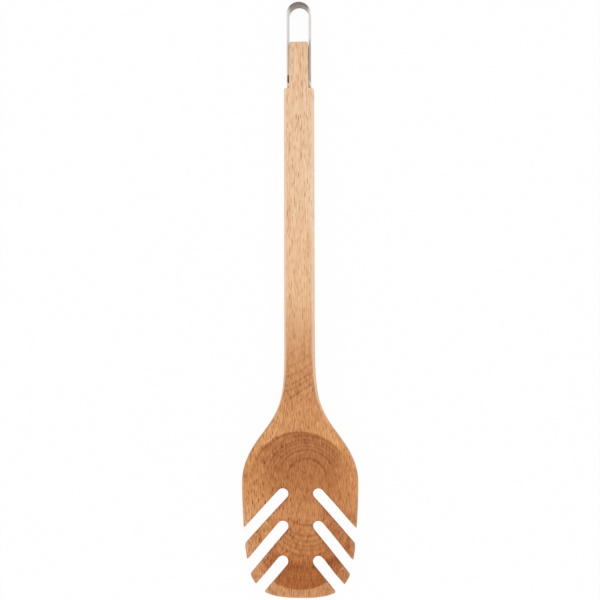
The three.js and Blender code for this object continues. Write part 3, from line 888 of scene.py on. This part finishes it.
def bent_strip(given):
    """A rounded strip swept along the bend, cut round at its ends and drilled for the pin."""
    path = given.node("GeometryNodeObjectInfo", {}, {"Object": given.out("Bend")}, "Geometry")
    even = given.node("GeometryNodeResampleCurve", {"mode": "COUNT"}, {
        "Curve": path, "Count": SWEEP_STEPS})
    level = given.node("GeometryNodeSetCurveNormal", {"mode": "Z_UP"}, {"Curve": even})
    run = given.node("GeometryNodeSplineParameter", {}, {}, "Length")
    measured = given.node("GeometryNodeStoreNamedAttribute", {"data_type": "FLOAT", "domain": "POINT"}, {
        "Geometry": level, "Name": "along", "Value": run})
    section = given.node("GeometryNodeCurvePrimitiveQuadrilateral", {}, {
        "Width": given.out("Strip thickness"), "Height": given.out("Strip width")})
    eased = given.node("GeometryNodeFilletCurve", {"mode": "POLY"}, {
        "Curve": section, "Radius": given.out("Edge radius"), "Count": EDGE_ARC_STEPS})
    strip = given.node("GeometryNodeCurveToMesh", {}, {
        "Curve": measured, "Profile Curve": eased, "Fill Caps": True})
    x, y, z = given.node("GeometryNodeInputPosition").axes()
    past_pin = given.math("MINIMUM", y, 0) / (given.out("Strip width") / 2)
    narrowing = given.math("SQRT", given.math("MAXIMUM", 1 - past_pin ** 2, LEAST_NARROWING))
    rounded = given.node("GeometryNodeSetPosition", {}, {
        "Geometry": strip, "Position": given.vector(x, y, z * narrowing)})
    drill = given.node("GeometryNodeObjectInfo", {}, {"Object": given.out("Drill")}, "Geometry")
    drilled = given.node("GeometryNodeMeshBoolean", {"operation": "DIFFERENCE", "solver": "MANIFOLD"}, {
        "Mesh 1": rounded, "Mesh 2": drill}, "Mesh")
    bright = given.node("GeometryNodeSetShadeSmooth", {"domain": "FACE"}, {"Geometry": drilled})
    fold = given.node("GeometryNodeInputMeshEdgeAngle", {}, {}, "Unsigned Angle")
    crisp = given.node("GeometryNodeSetShadeSmooth", {"domain": "EDGE"}, {
        "Geometry": bright, "Selection": fold > CRISP_ANGLE, "Shade Smooth": False})
    return given.node("GeometryNodeTransform", {}, {
        "Geometry": crisp, "Translation": hinge_place + LOOP_SLIDE})


def brushed_steel():
    material, start = finish_named("brushed_steel")
    place = start.node("ShaderNodeTexCoord", {}, {}, "Object")
    from_pin = start.node("ShaderNodeMapping", {"vector_type": "POINT"}, {
        "Vector": place, "Location": -hinge_place / MM, "Scale": (1 / MM, 1 / MM, 1 / MM)})
    x, y, z = from_pin.axes()
    along = start.kept("along") / MM

    def noise(wide, long, deep, detail):
        """Noise drawn out along the strip."""
        at = start.vector(x / wide, along / long, z / deep)
        return start.node("ShaderNodeTexNoise", {}, {"Vector": at, "Scale": 1.0, "Detail": detail}, "Fac")

    brushing = noise(wide=0.6, long=14, deep=0.12, detail=3)
    cloud = noise(wide=4, long=9, deep=4, detail=2)

    # The legs are polished on their edges. Beside the tongue, these edges carry painted shade with a
    # painted reflection of the wood, and at their ends painted light. The bend is painted dark grey as
    # shade and a dark reflection.
    on_edge = abs(z).step(*EDGE_OUTSIDE)
    # The bend is painted dark, as shade and a dark reflection on its inner face
    bend_shade_tone = on_edge.tones(cloud.step(0.3, 0.7).tones(BEND_SHADE_DARK_TONE, BEND_SHADE_PALE_TONE), BEND_SHADE_EDGE_TONE)
    # Painted shade and a painted reflection of the wood on the leg edges beside the tongue
    tongue_shade_tone = (x > 0).tones(LEFT_TONGUE_SHADE_TONE, RIGHT_TONGUE_SHADE_TONE)
    leg_tone = (on_edge * y.step(*TONGUE_SHADE_BELOW)).tones(LEG_TONE, tongue_shade_tone)
    # Painted light on the legs' rounded ends by the shoulders, which would otherwise sit in shade
    lit_leg_end = y.step(*LEG_END_LIGHT_BELOW)
    edge_tone = y.step(*BEND_ABOVE).tones(lit_leg_end.tones(leg_tone, LEG_END_LIGHT_TONE), bend_shade_tone)

    # A dark mark lies on the left leg, on its upper edge beside the pin
    near_pin = 1 - abs(y - DARK_MARK_MIDDLE).step(*DARK_MARK_REACH)
    dark_mark = (x < 0) * x.step(*DARK_MARK_INSIDE) * near_pin * z.step(*DARK_MARK_TOP)
    colour = (dark_mark * DARK_MARK_FORCE).tones(edge_tone, DARK_MARK_TONE)
    roughness = STRIP_ROUGHNESS + brushing * 0.2 + dark_mark * 0.3 + lit_leg_end * 0.4
    bump = start.node("ShaderNodeBump", {}, {
        "Strength": 0.12, "Distance": BRUSHING_DEPTH, "Height": brushing})
    surface = start.node("ShaderNodeBsdfPrincipled", {}, {
        "Base Color": colour, "Metallic": 1.0, "Roughness": roughness, "Normal": bump})
    start.node("ShaderNodeOutputMaterial", {}, {"Surface": surface})
    return material


def bend_points():
    """The middle line of the strip: up one leg, round the bend and down the other, from the pin."""
    side = (LOOP_INNER_WIDTH + STRIP_THICKNESS) / 2
    foot = -STRIP_WIDTH / 2
    pull = side * QUARTER_ARC_PULL
    return [
        sharp(side, foot),
        ((side, LEG_LENGTH), (side, LEG_LENGTH), (side, LEG_LENGTH + pull)),
        ((0, LEG_LENGTH + side), (pull, LEG_LENGTH + side), (-pull, LEG_LENGTH + side)),
        ((-side, LEG_LENGTH), (-side, LEG_LENGTH + pull), (-side, LEG_LENGTH)),
        sharp(-side, foot),
    ]


def countersink_profile():
    """The pin's own form with its clearance, run out past the strip and closed."""
    hole = pin_profile(PIN_CLEARANCE)
    head, _ = hole[-1]
    return hole + [(head, LOOP_OUTER_WIDTH), (0, LOOP_OUTER_WIDTH)]


bend = drawn("bend", bend_points())
countersink = bpy.data.objects.new("countersink", turned("countersink", countersink_profile()))
bpy.context.scene.collection.objects.link(countersink)
loop = shaped("bent_loop", bpy.data.meshes.new("bent_loop"), bent_strip, {
    "Bend": bend, "Drill": countersink, "Material": brushed_steel(),
    "Strip width": STRIP_WIDTH, "Strip thickness": STRIP_THICKNESS, "Edge radius": STRIP_EDGE_RADIUS,
})
bpy.data.objects.remove(bend)
bpy.data.objects.remove(countersink)
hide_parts("hanging_loop")
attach(loop, "loop")

# Table. A plain white sheet, much wider than the spoon that lies on it. The camera sees it lit
# evenly, with the spoon's own soft shadow.
FLOOR_HALF = 3.0
SHEET_COLOUR = (0.92, 0.92, 0.92, 1)
SHEET_GLOW = 0.96
WHITE = (1, 1, 1, 1)


def seen_directly(start):
    """1 for what the camera sees, also by reflection or through glass."""
    path = start.node("ShaderNodeLightPath")
    seen = path.out("Is Camera Ray") + path.out("Is Glossy Ray") + path.out("Is Transmission Ray")
    return start.math("MINIMUM", seen, 1)


white_sheet, sheet_start = finish_named("white_sheet")
sheet_diffuse = sheet_start.node("ShaderNodeBsdfDiffuse", {}, {"Color": SHEET_COLOUR})
sheet_glow = sheet_start.node("ShaderNodeEmission", {}, {"Color": WHITE, "Strength": 1.0})
sheet = sheet_start.node("ShaderNodeMixShader", {}, {
    0: seen_directly(sheet_start) * SHEET_GLOW, 1: sheet_diffuse, 2: sheet_glow})
sheet_start.node("ShaderNodeOutputMaterial", {}, {"Surface": sheet})
floor_mesh = bpy.data.meshes.new("table")
floor_mesh.from_pydata([(-FLOOR_HALF, -FLOOR_HALF, 0), (FLOOR_HALF, -FLOOR_HALF, 0),
                        (FLOOR_HALF, FLOOR_HALF, 0), (-FLOOR_HALF, FLOOR_HALF, 0)], [], [(0, 1, 2, 3)])
table = placed("table", floor_mesh, white_sheet)

# Light. One large soft lamp overhead, a little to the right and towards the loop, and an even pale
# room all round, which the camera and the steel see as white.
ROOM_LIGHT = 0.9
LAMP_PLACE = Vector((0.3, 0.4, 2.0))
LAMP_SIZE = 2.0
LAMP_POWER = 4.8

room = bpy.data.worlds.new("pale_room")
bpy.context.scene.world = room
room.use_nodes = True
room.node_tree.nodes.clear()
room_start = Wire(room.node_tree)
room_fill = room_start.node("ShaderNodeBackground", {}, {"Color": WHITE, "Strength": ROOM_LIGHT})
room_white = room_start.node("ShaderNodeBackground", {}, {"Color": WHITE, "Strength": 1.0})
room_seen = room_start.node("ShaderNodeMixShader", {}, {
    0: seen_directly(room_start), 1: room_fill, 2: room_white})
room_start.node("ShaderNodeOutputWorld", {}, {"Surface": room_seen})

lamp_data = bpy.data.lights.new("soft_lamp", "AREA")
lamp_data.shape = "SQUARE"
lamp_data.size = LAMP_SIZE
lamp_data.energy = LAMP_POWER
lamp = bpy.data.objects.new("soft_lamp", lamp_data)
bpy.context.scene.collection.objects.link(lamp)
lamp.location = LAMP_PLACE
lamp.rotation_euler = (-LAMP_PLACE).to_track_quat("-Z", "Y").to_euler()

# Camera. Straight above the spoon and a little to its right, as in the photograph. The frame's
# width is measured at the height that it aims at.
CAMERA_AIM = Vector((0.00035, -0.00063, 0.012))
CAMERA_DISTANCE = 0.6
CAMERA_SIDE_ANGLE = math.radians(2.5)
CAMERA_ROLL = math.radians(-0.2)
FRAME_WIDTH = 0.3519
SENSOR_WIDTH = 36.0

camera_data = bpy.data.cameras.new("camera")
camera_data.sensor_width = SENSOR_WIDTH
camera_data.lens = SENSOR_WIDTH * CAMERA_DISTANCE / FRAME_WIDTH
camera = bpy.data.objects.new("camera", camera_data)
bpy.context.scene.collection.objects.link(camera)
camera_turn = Matrix.Rotation(CAMERA_SIDE_ANGLE, 4, "Y") @ Matrix.Rotation(CAMERA_ROLL, 4, "Z")
camera_back = Matrix.Translation((0, 0, CAMERA_DISTANCE))
camera.matrix_world = Matrix.Translation(CAMERA_AIM) @ camera_turn @ camera_back
bpy.context.scene.camera = camera
bpy.context.scene.view_settings.view_transform = "Standard"
